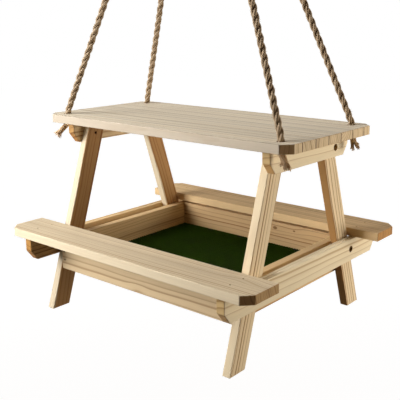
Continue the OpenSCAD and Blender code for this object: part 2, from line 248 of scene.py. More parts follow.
def lay_floor():
    """A white floor far below the feeder, which keeps a faint shadow."""
    material, add = new_material("white_floor")
    matt = add("BsdfDiffuse", {"Color": linear("#6e665c")})
    place = add("TexCoord", out="Object")
    away = add("VectorMath LENGTH", [place], out="Value")
    level = add("MapRange", [away, GLOW_NEAR, GLOW_FAR, FLOOR_GLOW, 1.0])
    shine = add("Math MULTIPLY", [seen_ray(add), level])
    glow = add("Emission", {"Color": (1, 1, 1, 1), "Strength": shine})
    add("OutputMaterial", [add("AddShader", [matt, glow])])
    mesh = bpy.data.meshes.new("floor")
    corners = [(sx * FLOOR_HALF, sy * FLOOR_HALF, 0) for sx, sy in ((-1, -1), (1, -1), (1, 1), (-1, 1))]
    mesh.from_pydata(corners, [], [(0, 1, 2, 3)])
    mesh.materials.append(material)
    floor = new_object("floor", mesh)
    floor.location.z = cad_box[0][2] - FLOOR_DROP
    floor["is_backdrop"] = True


bpy.context.scene.view_settings.view_transform = "Standard"
light_world()
lay_floor()
print("floor at", round(cad_box[0][2] - FLOOR_DROP, 2), "m")

# %% [markdown]
# What repeats, or follows a path, is grown with Geometry Nodes. A tree is built once with
# named inputs for its sizes, run on a mesh or curve, and its result is kept as a plain
# mesh, so nothing live is left on the finished piece.

# %% Growing meshes from trees
def geometry_tree(build, **inputs):
    """Makes a Geometry Nodes tree with inputs named by kind.

    build adds its nodes and returns the last. What that holds is then realized and given
    the tree's material.
    """
    tree = bpy.data.node_groups.new(build.__name__, "GeometryNodeTree")
    for kind, labels in (inputs | {"Material": "Material"}).items():
        for label in labels.split():
            tree.interface.new_socket(label, in_out="INPUT", socket_type="NodeSocket" + kind)
    tree.interface.new_socket("Result", in_out="OUTPUT", socket_type="NodeSocketGeometry")
    add, take = partial(add_node, tree), tree.nodes.new("NodeGroupInput").outputs
    real = add("RealizeInstances", {"Geometry": build(add, take)})
    dressed = add("SetMaterial", {"Geometry": real, "Material": take["Material"]})
    add("GroupOutput", {"Result": dressed})
    return tree


def grow(tree, start, **values):
    """Runs a tree on a mesh or curve with these inputs and returns the plain mesh."""
    holder = new_object("holder", start)
    modifier = holder.modifiers.new("grow", "NODES")
    modifier.node_group = tree
    for item in tree.interface.items_tree:
        if item.in_out == "INPUT" and item.name in values:
            modifier[item.identifier] = values[item.name]
    depsgraph = bpy.context.evaluated_depsgraph_get()
    mesh = bpy.data.meshes.new_from_object(holder.evaluated_get(depsgraph))
    bpy.data.objects.remove(holder)
    return mesh


def piece(name, mesh, replaced=(), body="feeder"):
    """Makes a mesh one piece of the object: what it rides on and what it stands for."""
    made = new_object(name, mesh)
    mesh.name = name
    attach(made, body)
    if replaced:
        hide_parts(*replaced)
    return made


def smooth(mesh):
    """Shades every face of a mesh smooth."""
    mesh.polygons.foreach_set("use_smooth", [True] * len(mesh.polygons))
    return mesh


def mesh_from(shape):
    """The plain mesh of a bmesh, which isn't kept."""
    mesh = bpy.data.meshes.new("made")
    shape.to_mesh(mesh)
    shape.free()
    return mesh


# %% [markdown]
# Jute is a bast fibre: long, dull golden-brown hairs spun into yarn. Up close a strand
# shows fine streaks at a slant to its length, darker in the grooves and with pale fibres
# on top. The pattern follows the strand's own UV map, where u goes round it and v along
# it. Both it and the pine need noise that is drawn out along the fibre, so that is one
# function.

# %% Spun jute
def drawn_out_noise(add, place, scale, detail, rough=0.5, out=0):
    """Noise over a place in mm; scale is how many patches fit in a mm, each way."""
    drawn = add("VectorMath MULTIPLY", [place, scale])
    return add("TexNoise", {"Vector": drawn, "Scale": 1.0, "Detail": detail, "Roughness": rough}, out)


STRAND_ROUND = 15
GROOVE = 2.5 * MM
SPUN_SLANT = radians(-24)


def jute(name, shades, slant=SPUN_SLANT, shade_and_dust=1.0):
    """Streaked fibre with dark, mid and pale shades; slant is how far the yarns lean.

    The last argument is how dark the grooves are painted, as shade and some dust.
    """
    material, add = new_material(name)
    # u becomes millimetres round the strand, and v, in metres, millimetres along it
    spun = add("Mapping", {
        "Vector": add("TexCoord", out="UV"), "Rotation": (0, 0, slant),
        "Scale": (STRAND_ROUND, 1 / MM, 1)})
    # streaks about 0.5 mm wide and 8 mm long, in patches of yarn about 12 mm long
    streak = drawn_out_noise(add, spun, (1.9, 0.13, 1), 3.0, 0.65)
    patch = drawn_out_noise(add, spun, (0.12, 0.08, 1), 2.0)
    mixed = add("Math MULTIPLY_ADD", [patch, 0.45, streak])
    tone = add("ValToRGB", [mixed], stops=[(0.42, shades[0]), (0.98, shades[2]), (0.70, shades[1])])
    # grooves between strands are darkened where the occlusion node finds them: painted shade, with some
    # dust
    groove = add("AmbientOcclusion", {"Distance": GROOVE}, out="AO", samples=4)
    out_of_groove = add("MapRange", [groove, 0.25, 0.85, 1 - shade_and_dust])
    groove_shaded = add("Mix", {0: out_of_groove, 6: linear(shades[0]), 7: tone}, **IN_COLOUR)
    ridges = add("Bump", {"Strength": 0.9, "Distance": 0.35 * MM, "Height": streak})
    add("OutputMaterial", [add("BsdfPrincipled", {
        "Base Color": groove_shaded, "Roughness": 0.88, "Specular IOR Level": 0.1,
        "Sheen Weight": 0.15, "Sheen Roughness": 0.5, "Normal": ridges})])
    return material


ROPE_JUTE = jute("laid_jute", ("#69513a", "#a38b6c", "#c4b193"), shade_and_dust=0.3)
# frayed fibres are paler than the laid rope, and are painted paler still because they hang in the top's
# shade: partly painted light
FRAYED_JUTE = jute("frayed_jute", ("#9c754a", "#e2c094", "#fbeacb"), shade_and_dust=0.1)
TWINE_JUTE = jute("twine_jute", ("#4a3423", "#947654", "#bfa27a"), radians(-30))
print("jute:", ROPE_JUTE.name, FRAYED_JUTE.name, TWINE_JUTE.name)

# %% [markdown]
# ## The four ropes
# A rope comes up through its hole, runs straight to the twine, opens into an eye round
# the ring's lowest point and goes down again to the corner behind. So front and back are
# one rope over the ring, 637 mm long on each side. The route's points are those of the
# CAD model, for the back right corner, and the other corners mirror them.

# %% The ropes' route
ROPE = 9.5 * MM
CORNER = Vector((196, 82)) * MM
ROUTE = [
    (196, 82, -630), (196, 82, -626), (194, 81, -617),
    (8, 6, -148), (5.7, 5.2, -140.5), (4.9, 4.9, -132), (4.9, 4.9, -101),
    (4.9, 7, -91.3), (4.9, 13.1, -83.1), (4.9, 18.1, -76.4), (4.9, 20, -68),
    (4.9, 18.5, -60.3), (4.9, 14.1, -53.9), (4.9, 7.7, -49.5), (4.9, 0, -48),
]
LONGEST_STEP = 40 * MM
CORNERS = {"front_left": (-1, -1), "front_right": (1, -1), "back_left": (-1, 1), "back_right": (1, 1)}


def divided(points, longest):
    """The points with long straight runs cut into equal steps."""
    line = []
    for a, b in zip(points, points[1:]):
        count = max(1, round((b - a).length / longest + 0.49))
        line += [a.lerp(b, k / count) for k in range(count)]
    return line + [points[-1]]


def rounded(points, steps=4):
    """A smooth line through the points, with this many steps between two of them."""
    line = []
    ends = [2 * points[0] - points[1]] + points + [2 * points[-1] - points[-2]]
    for a, b, c, d in zip(ends, ends[1:], ends[2:], ends[3:]):
        for k in range(steps):
            t = k / steps
            line.append(0.5 * (2 * b + (c - a) * t + (2 * a - 5 * b + 4 * c - d) * t ** 2
                               + (3 * b - a - 3 * c + d) * t ** 3))
    return line + [points[-1]]


def rope_line(corner):
    """The middle line of one rope, from its knot to the top of its eye."""
    sx, sy = CORNERS[corner]
    return rounded(divided([Vector((x * sx, y * sy, z)) * MM for x, y, z in ROUTE], LONGEST_STEP))


def run(line):
    """Length of a line of points."""
    return sum((b - a).length for a, b in zip(line, line[1:]))


print({corner: round(run(rope_line(corner)) / MM, 1) for corner in CORNERS}, "mm of rope")

# %% [markdown]
# Three strands are laid round each other like the threads of a screw. The tree draws
# three small circles side by side as the profile, tilts the path a full turn every 39 mm
# and sweeps one along the other, so the lay follows the rope round every bend. A little
# noise keeps the strands from looking turned on a lathe.

# %% Laying strands along a path
def laid_strands(add, take):
    """Sweeps a ring of strands along a curve, turning once every lay."""
    path = add("ResampleCurve", {"Curve": take["Path"], "Count": take["Rings"]})
    along = add("SplineParameter", out="Length")
    tilt = add("Math MULTIPLY", [along, take["Twist"]])
    path = add("SetCurveTilt", {"Curve": path, "Tilt": tilt})
    path = add("StoreNamedAttribute", {"Geometry": path, "Name": "along", "Value": along})
    centres = add("MeshCircle", {"Vertices": take["Strands"], "Radius": take["Offset"]})
    # each small circle starts on the rope's inner side, so that its UV seam stays hidden
    share = add("Math DIVIDE", [add("InputIndex"), take["Strands"]])
    spin = add("Math MULTIPLY_ADD", [share, 2 * pi, pi])
    circle = add("CurvePrimitiveCircle", {"Resolution": take["Sides"], "Radius": take["Radius"]})
    around = add("SplineParameter", out="Factor")
    circle = add("StoreNamedAttribute", {"Geometry": circle, "Name": "around", "Value": around})
    strands = add("InstanceOnPoints", {
        "Points": centres, "Instance": circle, "Rotation": add("CombineXYZ", {"Z": spin})})
    profile = add("RealizeInstances", {"Geometry": strands})
    swept = add("CurveToMesh", {"Curve": path, "Profile Curve": profile, "Fill Caps": True})
    u, v = (add("InputNamedAttribute", {"Name": name}) for name in ("around", "along"))
    swept = add("StoreNamedAttribute", {
        "Geometry": swept, "Name": "UVMap", "Value": add("CombineXYZ", [u, v])},
        data_type="FLOAT2", domain="CORNER")
    lump = add("TexNoise", {"Vector": add("InputPosition"), "Scale": take["Lump_Scale"], "Detail": 2.0})
    swell = add("Math SUBTRACT", [lump, 0.5])
    swell = add("Math MULTIPLY", [swell, take["Lumps"]])
    outwards = add("VectorMath SCALE", {0: add("InputNormal"), "Scale": swell})
    return add("SetPosition", {"Geometry": swept, "Offset": outwards})


LAID = geometry_tree(
    laid_strands, Geometry="Path", Int="Strands Rings Sides",
    Float="Radius Offset Twist Lumps Lump_Scale")


def curve_through(line):
    """A curve of straight steps through the points."""
    curve = bpy.data.curves.new("path", "CURVE")
    curve.dimensions = "3D"
    curve.twist_mode = "MINIMUM"
    spline = curve.splines.new("POLY")
    spline.points.add(len(line) - 1)
    spline.points.foreach_set("co", [value for point in line for value in (*point, 1.0)])
    return curve


STRAND = 4.9 * MM
STRAND_OFFSET = (ROPE - STRAND) / 2
LAY = 39 * MM
RINGS_PER_ROPE = 281
LUMPS = 1.3 * MM
LUMP_SIZE = 6 * MM


def laid_rope(side):
    """The whole rope of one side, from its front knot over the ring to its back knot."""
    line = rope_line("front_" + side) + rope_line("back_" + side)[-2::-1]
    return grow(
        LAID, curve_through(line), Strands=3, Radius=STRAND / 2, Offset=STRAND_OFFSET,
        Twist=2 * pi / LAY, Rings=2 * RINGS_PER_ROPE - 1, Sides=12, Lumps=LUMPS,
        Lump_Scale=1 / LUMP_SIZE, Material=ROPE_JUTE)


whole_ropes = {side: laid_rope(side) for side in ("left", "right")}
print({side: len(mesh.polygons) for side, mesh in whole_ropes.items()}, "faces in a whole rope")

# %% [markdown]
# The whole rope is now cut at the top of its eye into a front and a back half, which
# stand for one CAD rope each. Jute is never clean: short fibres work loose and stand off
# the strands. They are grown on the finished halves, scattered by a fixed seed.

# %% Fuzz and the four ropes
LEAST_LEAN = radians(52)
MOST_LEAN = radians(84)


def loose_fibres(add, take):
    """Adds short loose fibres to a mesh, leaning at random."""
    points = add("DistributePointsOnFaces", {
        "Mesh": take["Rope"], "Density": take["Density"], "Seed": take["Seed"]}).node.outputs
    fibre = add("CurveQuadraticBezier", {
        "Resolution": 3, "Start": (0, 0, 0), "Middle": take["Middle"], "End": take["End"]})
    profile = add("CurvePrimitiveCircle", {"Resolution": 3, "Radius": take["Thickness"]})
    hair = add("CurveToMesh", {"Curve": fibre, "Profile Curve": profile, "Fill Caps": True})
    lean = add("RandomValue", {
        0: (LEAST_LEAN, 0, 0), 1: (MOST_LEAN, 0, 2 * pi), "Seed": take["Seed"]}, data_type="FLOAT_VECTOR")
    turned = add("RotateRotation", {
        "Rotation": points["Rotation"],
        "Rotate By": add("EulerToRotation", {"Euler": lean})}, rotation_space="LOCAL")
    size = add("RandomValue", {2: 0.4, 3: 1.0, "Seed": take["Seed"]}, out=1)
    hairs = add("InstanceOnPoints", {
        "Points": points["Points"], "Instance": hair, "Rotation": turned, "Scale": size})
    return add("JoinGeometry", [[hairs, take["Rope"]]])


FUZZ = geometry_tree(
    loose_fibres, Geometry="Rope", Float="Density Thickness", Vector="Middle End", Int="Seed")
FUZZ_DENSITY = 24000
FUZZ_LENGTH = 3.2 * MM
FUZZ_BEND = 0.35 * FUZZ_LENGTH
FUZZ_THICKNESS = 0.11 * MM


def half_rope(mesh, front):
    """One half of a whole rope, closed where it was cut at the top of the eye."""
    shape = bmesh.new()
    shape.from_mesh(mesh)
    pattern = shape.loops.layers.uv["UVMap"]
    middle = max(loop[pattern].uv.y for face in shape.faces for loop in face.loops) / 2
    other = [face for face in shape.faces
             if (sum(loop[pattern].uv.y for loop in face.loops) / len(face.loops) < middle) != front]
    bmesh.ops.delete(shape, geom=other, context="FACES")
    bmesh.ops.holes_fill(shape, edges=[edge for edge in shape.edges if edge.is_boundary], sides=0)
    return smooth(mesh_from(shape))


for seed, (corner, (sx, sy)) in enumerate(CORNERS.items()):
    bare = half_rope(whole_ropes["right" if sx > 0 else "left"], front=sy < 0)
    hairy = grow(
        FUZZ, bare, Density=FUZZ_DENSITY, Middle=(0, 0, FUZZ_BEND), End=(FUZZ_BEND, 0, FUZZ_LENGTH),
        Thickness=FUZZ_THICKNESS, Seed=seed, Material=ROPE_JUTE)
    piece("laid_rope_" + corner, smooth(hairy), ["rope_" + corner])

# %% [markdown]
# Under the table top each rope ends in a wall knot: its three strands tucked under one
# another, drawn up into a pocket. Below the knot the strands hang free and fray. Both are
# made of tubes along lines of points. A tube's rings are turned as little as the line
# allows, so its sides don't twist.

# %% Tubes along lines
def ways_across(before, after, hint):
    """Two ways at right angles to the line between two points, the first near a hint."""
    heading = (after - before).normalized()
    first = (hint - heading * hint.dot(heading)).normalized()
    return first, heading.cross(first)


def tube(shape, line, radii, sides, closed=False):
    """Adds a round tube along the points to a bmesh; radii has one value for each point."""
    pattern = shape.loops.layers.uv.verify()
    count = len(line)
    along = 0.0
    normal = Vector((0.3, 0.9, 0.2))
    rings = []
    for k, (point, radius) in enumerate(zip(line, radii)):
        before = line[k - 1] if closed or k else point
        after = line[(k + 1) % count] if closed or k < count - 1 else point
        normal, second = ways_across(before, after, normal)
        rings.append([shape.verts.new(point + radius * (normal * cos(a) + second * sin(a)))
                      for a in (2 * pi * side / sides for side in range(sides))])
    for k in range(count if closed else count - 1):
        low, high = rings[k], rings[(k + 1) % count]
        step = (line[(k + 1) % count] - line[k]).length
        # where a closed tube meets its start, its sides are matched to the nearest ones
        turn = min(range(sides), key=lambda t: (low[0].co - high[t].co).length) if k == count - 1 else 0
        for side in range(sides):
            after = (side + 1) % sides
            face = shape.faces.new((
                low[side], low[after], high[(after + turn) % sides], high[(side + turn) % sides]))
            for loop, (u, v) in zip(face.loops, ((0, 0), (1, 0), (1, 1), (0, 1))):
                loop[pattern].uv = (side + u) / sides, along + v * step
        along += step
    if not closed:
        shape.faces.new(rings[0][::-1])
        shape.faces.new(rings[-1])


def tubes(shape, material):
    """The mesh of a bmesh of tubes, with its normals outwards."""
    bmesh.ops.recalc_face_normals(shape, faces=shape.faces)
    mesh = mesh_from(shape)
    mesh.materials.append(material)
    return smooth(mesh)


trial = bmesh.new()
tube(trial, [Vector((0, 0, k * MM)) for k in range(3)], [MM] * 3, 6)
print("a tube of three rings with six sides has", len(trial.faces), "faces")
trial.free()

# %% [markdown]
# The knot is one closed tube that goes twice round its middle while it rises and falls
# three times, so it looks like three strands tucked under one another.

# %% Wall knots
KNOT_TOP = -630 * MM
KNOT_HEIGHT = 10 * MM
KNOT_RADIUS = 8.5 * MM
KNOT_MIDDLE = 4.6 * MM
KNOT_STRAND = 2.1 * MM
KNOT_STEPS = 96


def wall_knot(shape, middle):
    """Three strands tucked round each other, as one closed tube about a point."""
    swing = KNOT_RADIUS - KNOT_STRAND - KNOT_MIDDLE
    rise = KNOT_HEIGHT / 2 - KNOT_STRAND
    line = []
    for k in range(KNOT_STEPS):
        a = 2 * pi * k / KNOT_STEPS
        reach = KNOT_MIDDLE + swing * cos(3 * a)
        line.append(middle + Vector((reach * cos(2 * a), reach * sin(2 * a), rise * sin(3 * a))))
    tube(shape, line, [KNOT_STRAND] * KNOT_STEPS, 10, closed=True)


print("a knot is", 2 * KNOT_RADIUS / MM, "mm wide and", KNOT_HEIGHT / MM, "mm high")

# %% [markdown]
# A loose strand is a bundle of fibres, twisted together at first and spread towards the
# end. The photo shows where each rope's end parts and where its strands point, and a fixed
# seed bends and shortens every fibre by chance.

# %% Frayed ends
FIBRES = 40
FIBRE_RADIUS = 0.42 * MM
STRAND_RADIUS = 2.3 * MM
STRAND_APART = 2.2
TAIL_TWIST = radians(100)
FIBRE_TURN = 2.6
GOLDEN_ANGLE = radians(137.5)
FRAY_FROM = 0.66
FRAY = 2.0 * MM


def frayed_strand(shape, route, random):
    """A bundle of fibres along a route: twisted first, then apart."""
    line = rounded(route, 3)
    count = len(line)
    side = Vector((0.6, 0.8, 0)).normalized()
    for fibre in range(FIBRES):
        out = STRAND_RADIUS * sqrt((fibre + 0.5) / FIBRES)
        start = fibre * GOLDEN_ANGLE
        stray = Vector(random.uniform(-1, 1, 3)) * FRAY
        length = random.uniform(0.86, 1.0)
        points = []
        for k, point in enumerate(line[:max(4, round(count * length))]):
            t = k / (count - 1)
            first, second = ways_across(line[max(k - 1, 0)], line[min(k + 1, count - 1)], side)
            a = start + FIBRE_TURN * t
            loose = max(0, (t - FRAY_FROM) / (1 - FRAY_FROM))
            points.append(point + out * (first * cos(a) + second * sin(a)) + stray * loose ** 1.6)
        thin = [FIBRE_RADIUS * (1 - 0.3 * k / len(points)) for k in range(len(points))]
        tube(shape, points, thin, 4)


def tail_routes(lean, tips):
    """Three strands, in mm, that leave a knot twisted together and part for their tips."""
    lean = Vector(lean)
    tips = sorted((Vector(tip) for tip in tips), key=lambda tip: atan2((tip - lean).y, (tip - lean).x))
    first = (tips[0] - lean).xy
    for turn, tip in enumerate(tips):
        end = atan2(first.y, first.x) + turn * 2 * pi / 3
        route = []
        for share in (0, 0.4, 0.8):
            a = end - TAIL_TWIST * (1 - share)
            route.append(Vector((0, 0, 1)).lerp(lean, share) + STRAND_APART * Vector((cos(a), sin(a), 0)))
        yield route + [route[-1].lerp(tip, 0.55), tip]


# Where each rope's end parts into its strands, and the strands' tips, in millimetres from
# the middle of the knot's underside
TAILS = {
    "front_right": ((4, 3, -12), [(4, 3, -20), (9, 7, -19), (0.5, 0, -15)]),
    "back_right": ((3.5, 2.5, -11), [(8.5, 6, -13), (7.5, 6, -18), (2, 1.5, -20)]),
    "front_left": ((-10, -8, -12), [(-17, -13, -16), (-13.5, -10.5, -19), (-12, -9, -21)]),
    "back_left": ((0, 1, -11), [(-4, -1, -20), (3.5, 2, -21), (0.5, 5, -17)]),
}
random = np.random.default_rng(7)
for corner, (sx, sy) in CORNERS.items():
    under = Vector((sx * CORNER.x, sy * CORNER.y, KNOT_TOP - KNOT_HEIGHT))
    shape = bmesh.new()
    wall_knot(shape, under + Vector((0, 0, KNOT_HEIGHT / 2)))
    for route in tail_routes(*TAILS[corner]):
        frayed_strand(shape, [under + point * MM for point in route], random)
    piece(
        "wall_knot_" + corner, tubes(shape, FRAYED_JUTE), ["knot_" + corner])

# %% [markdown]
# The seizing is thin twine wound tightly round the four ropes. Its path is a rounded
# square that climbs 3 mm a turn, as in the CAD model. The twine is one loosely spun ply, so
# the same tree as before sweeps three circles that nearly cover each other, and its twist
# shows as shallow grooves.

# %% Seizing
BUNDLE = 4.9 * MM
TWINE = 2.5 * MM
TWINE_PITCH = 3 * MM
TWINE_TURNS = 8
TWINE_STEPS = 24
SEIZING_LOW = -130 * MM
TWINE_ROUND = ROPE / 2 + 0.3 * MM + TWINE / 2
TWINE_LAY = 7 * MM
RINGS_PER_TURN = 72


def twine_line():
    """A rounded square round the four ropes that climbs as it goes."""
    line = []
    for k in range(TWINE_TURNS * TWINE_STEPS + 1):
        a = 2 * pi * (k + 0.5) / TWINE_STEPS
        x = np.sign(cos(a)) * BUNDLE + TWINE_ROUND * cos(a)
        y = np.sign(sin(a)) * BUNDLE + TWINE_ROUND * sin(a)
        line.append(Vector((x, y, SEIZING_LOW + TWINE_PITCH * k / TWINE_STEPS)))
    return line


wound = grow(
    LAID, curve_through(twine_line()), Strands=3, Radius=0.90 * MM, Offset=0.35 * MM,
    Twist=2 * pi / TWINE_LAY, Rings=TWINE_TURNS * RINGS_PER_TURN, Sides=8, Lumps=0.2 * MM,
    Lump_Scale=1 / (2 * MM), Material=TWINE_JUTE)
seizing = piece("wound_seizing", smooth(wound), ["twine_seizing"])

for corner, (sx, sy) in CORNERS.items():
    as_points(rope_line(corner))
print("seizing:", len(wound.polygons), "faces; the twine is", round(run(twine_line()), 2), "m long")

# %% [markdown]
# ## The boards
# Pine is read by its growth rings. In spring the tree lays down wide pale wood and in
# summer a thin brown line, and a board cut along the trunk shows those rings as long
# lines, close together or far apart. So the material is a small piece of a trunk: it
# measures how far a point is from the pith, divides that into years, and colours each
# year. Each board has its own place in the trunk, so no two look alike, and the lines on
# a face, an edge and an end belong together.

# %% Rings and knots
TAPER = 0.012
WANDER = 9
BOARDS_APART = 731
YEARS_APART = 37
YEAR_LINE = [(0.0, 0.0), (1.0, 0.0), (0.45, 0.05), (0.76, 0.25), (0.90, 1.0), (0.97, 0.75)]


def away_from(add, place, middle, weights):
    """How far a place is from a middle, in mm, with each way weighted."""
    apart = add("VectorMath SUBTRACT", [place, middle])
    apart = add("VectorMath MULTIPLY", [apart, weights])
    return add("VectorMath LENGTH", [apart], out="Value")


def pith_distance(add, local, cut, pith, knots):
    """How far the wood is from the pith, in mm, and 1 where a knot is.

    local is a place in the board and cut the same place in the trunk.
    """
    # the trunk isn't straight: over 150 mm the rings wander a few millimetres
    wander = drawn_out_noise(add, cut, (0.006, 0.028, 0.028), 2.0, out="Color")
    wander = add("VectorMath SUBTRACT", [wander, (0.5, 0.5, 0.5)])
    bent = add("VectorMath MULTIPLY_ADD", [wander, (0, WANDER, WANDER), cut])
    round_pith = away_from(add, bent, (0, *pith), (0, 1, 1))
    # a trunk tapers, so its rings are long cones
    x = add("SeparateXYZ", [local])
    reach = add("Math MULTIPLY_ADD", [x, TAPER, round_pith])
    knot = 0.0
    for kx, ky, radius, bulge in knots:
        # rings swell out round a branch, over three times its length along the grain
        far = away_from(add, local, (kx, ky, 0), (0.35, 1, 0))
        near = add("MapRange", [far, 2.4 * abs(bulge) + radius, 0, 0, bulge], **SOFTLY)
        reach = add("Math ADD", [reach, near])
        if radius:
            core = away_from(add, local, (kx, ky, 0), (0.6, 1, 0))
            core = add("MapRange", [core, radius * 1.3, radius * 0.7], **SOFTLY)
            knot = add("Math MAXIMUM", [core, knot])
    return reach, knot


def summer_lines(add, reach, year, strength, seed):
    """The line of each year, and the same line as brown as its summer made it."""
    years = add("Math MULTIPLY", [reach, 1 / year])
    uneven = add("TexNoise", {"W": years, "Scale": 0.7, "Detail": 1.0}, noise_dimensions="1D")
    years = add("Math MULTIPLY_ADD", [uneven, 1.6, years])
    part = add("Math FRACT", [years])
    line = add("ValToRGB", [part], stops=YEAR_LINE)
    # some summers are short, and their line stays faint
    number = add("Math ADD", [years, seed * YEARS_APART])
    number = add("Math FLOOR", [number])
    summer = add("TexWhiteNoise", {"W": number}, noise_dimensions="1D")
    summer = add("MapRange", [summer, 0, 1, 0.45 * strength, 1.1 * strength])
    return line, add("Math MULTIPLY", [line, summer], use_clamp=True)


print("a year's line has", len(YEAR_LINE), "stops, and rings wander by up to", WANDER / 2, "mm")

# %% [markdown]
# The rest depends on how the saw met the wood. A face shows the lines as they are, an edge
# lies nearly along the rings, and a sawn end drinks light. The clipped corners are painted
# darker and browner, as painted shade. The surface's own direction, set against the grain,
# tells them apart.

# %% Planed pine
# heartwood, laid where the legs' inner faces sit in shade: partly painted shade
SHADED_HEARTWOOD = "#c8a67e"
# the painted shade of the clipped corners
CLIPPED_CORNER_SHADE = "#efd5b5"
GLUE_LINE = "#563518"
KNOT_WOOD = "#6e4524"


def facing(add, normal, way):
    """1 where the surface looks straight along a way, or against it, and 0 across it."""
    turned = add("VectorMath DOT_PRODUCT", [normal, way], out="Value")
    return add("Math ABSOLUTE", [turned])


def end_stains_and_corner_shade(add, with_grain, brown, end_wood):
    """1 on a sawn end, the stains of the ends, and the painted shade of the clipped corners."""
    ends = add("MapRange", [with_grain, 0.45, 0.95], **SOFTLY)
    ringed = add("Math MULTIPLY", [brown, 0.26])
    sawn = add("Mix", {0: ringed, 6: linear(end_wood), 7: (0, 0, 0, 1)}, **IN_COLOUR)
    # faces at 45 degrees to the grain are the clipped corners, which get painted shade
    slant = add("Math SUBTRACT", [with_grain, sqrt(0.5)])
    slant = add("Math ABSOLUTE", [slant])
    rough = add("MapRange", [slant, 0.16, 0.08])
    return ends, [(ends, sawn, "MULTIPLY"), (rough, linear(CLIPPED_CORNER_SHADE), "MULTIPLY")]


def glue_joints(add, strip, width, ends):
    """How brown a panel's joints are; they lie at whole numbers of strips of this width."""
    beside = add("Math PINGPONG", [strip, 0.5])
    joint = add("MapRange", [beside, 1.2 / width, 0.6 / width])
    depth = add("Math MULTIPLY_ADD", [ends, 0.50, 0.46])
    return add("Math MULTIPLY", [joint, depth])


def pine(name, centre, along, across, pith, year, shades, strength, heart=0.0, strips=0.0,
         knots=(), seed=0.0):
    """Planed pine, cut from the trunk so that its pith is at `pith` from the board's middle.

    along is the way of the grain, across the way over the board's wide face. year is the
    width of a growth ring, the argument after strength the radius of the darker heartwood, and
    strips the width of the strips a panel is glued from, in mm. That heartwood is laid where
    the legs' inner faces sit in shade, so it is partly painted shade. shades are pale wood,
    summer wood and sawn end.
    A knot is (x, y, radius, bulge).
    """
    material, add = new_material(name)
    grain, width = Vector(along).normalized(), Vector(across).normalized()
    turn = Matrix((grain, width, grain.cross(width)))
    corner = add("TexCoord").node.outputs
    # millimetres from the board's middle: x with the grain, y over the face, z into it
    local = add("Mapping", {
        "Vector": corner["Object"], "Location": -(turn @ Vector(centre)) / MM,
        "Rotation": turn.to_euler(), "Scale": (1 / MM,) * 3})
    cut = add("VectorMath ADD", [local, (seed * BOARDS_APART, 0, 0)])
    if strips:
        # every strip of a panel comes from a place of its own in the trunk
        y = add("SeparateXYZ", [local], out="Y")
        strip = add("Math MULTIPLY_ADD", [y, 1 / strips, 0.5])
        number = add("Math FLOOR", [strip])
        chance = add("TexWhiteNoise", {"W": number}, out="Color", noise_dimensions="1D")
        cut = add("VectorMath MULTIPLY_ADD", [chance, (400, 90, 40), cut])
    reach, knot = pith_distance(add, local, cut, pith, knots)
    line, brown = summer_lines(add, reach, year, strength, seed)
    faint = add("MapRange", [facing(add, corner["Normal"], width), 0.6, 0.95, 1.0, 0.15])
    brown = add("Math MULTIPLY", [brown, faint])
    colour = add("Mix", {0: brown, 6: linear(shades[0]), 7: linear(shades[1])}, **IN_COLOUR)
    # fibres about 0.6 mm wide and 40 mm long, and soft bands about 15 mm wide
    fibre = drawn_out_noise(add, cut, (0.025, 1.5, 1.5), 4.0, 0.6)
    band = drawn_out_noise(add, cut, (0.004, 0.07, 0.07), 2.0)
    shade = add("Math MULTIPLY_ADD", [fibre, 0.30, 0.73])
    shade = add("Math MULTIPLY_ADD", [band, 0.24, shade])
    if strips:
        lot = add("MapRange", [chance, 0, 1, -0.13, 0.11])
        shade = add("Math ADD", [shade, lot])
    colour = add("VectorMath SCALE", {0: colour, "Scale": shade})
    ends, stains_and_shade = end_stains_and_corner_shade(add, facing(add, corner["Normal"], grain), brown, shades[2])
    if heart:
        # heartwood, laid where the legs' inner faces sit in shade: partly painted shade
        heart_shade_mask = add("MapRange", [reach, heart + 1, heart - 1], **SOFTLY)
        stains_and_shade.append((heart_shade_mask, linear(SHADED_HEARTWOOD), "MULTIPLY"))
    if strips:
        stains_and_shade.append((glue_joints(add, strip, strips, ends), linear(GLUE_LINE), "MIX"))
    if knots:
        dark = add("Math MULTIPLY", [knot, 0.8])
        stains_and_shade.append((dark, linear(KNOT_WOOD), "MIX"))
    # the stains, the painted shade of the clipped corners and the partly painted shade of the legs'
    # heartwood are laid on in turn
    for where, overlay, way in stains_and_shade:
        colour = add("Mix", {0: where, 6: colour, 7: overlay}, blend_type=way, **IN_COLOUR)
    height = add("Math MULTIPLY_ADD", [line, 0.5, fibre])
    planed = add("Bump", {"Strength": 0.35, "Distance": 0.12 * MM, "Height": height})
    dull = add("MapRange", [fibre, 0, 1, 0.50, 0.68])
    add("OutputMaterial", [add("BsdfPrincipled", {
        "Base Color": colour, "Roughness": dull, "Specular IOR Level": 0.12, "Normal": planed})])
    return material


# the clipped corners' colour is painted shade, and the heartwood's partly so
print("stains on the pine:", SHADED_HEARTWOOD, CLIPPED_CORNER_SHADE, GLUE_LINE, KNOT_WOOD)

# %% [markdown]
# Every board is a dressed copy of its CAD solid: the arrises are eased by about a
# millimetre, as a sander leaves them, and holes and counterbores stay crisp.

# %% Easing the boards
EASED = 0.9 * MM
SHORTEST_ARRIS = 8 * MM


def eased_board(node, eased):
    """A copy of a board's mesh with its long outer edges rounded."""
    shape = bmesh.new()
    shape.from_mesh(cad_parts[node].data)
    bmesh.ops.remove_doubles(shape, verts=shape.verts, dist=0.001 * MM)
    bmesh.ops.dissolve_limit(shape, angle_limit=radians(0.5), verts=shape.verts, edges=shape.edges)
    arrises = [edge for edge in shape.edges if len(edge.link_faces) == 2 and edge.is_convex
               and edge.calc_face_angle() > radians(20) and edge.calc_length() > SHORTEST_ARRIS]
    bmesh.ops.bevel(
        shape, geom=arrises, offset=eased, segments=3, profile=0.5, affect="EDGES", clamp_overlap=True)
    return mesh_from(shape)


print("arrises eased by", EASED / MM, "mm")
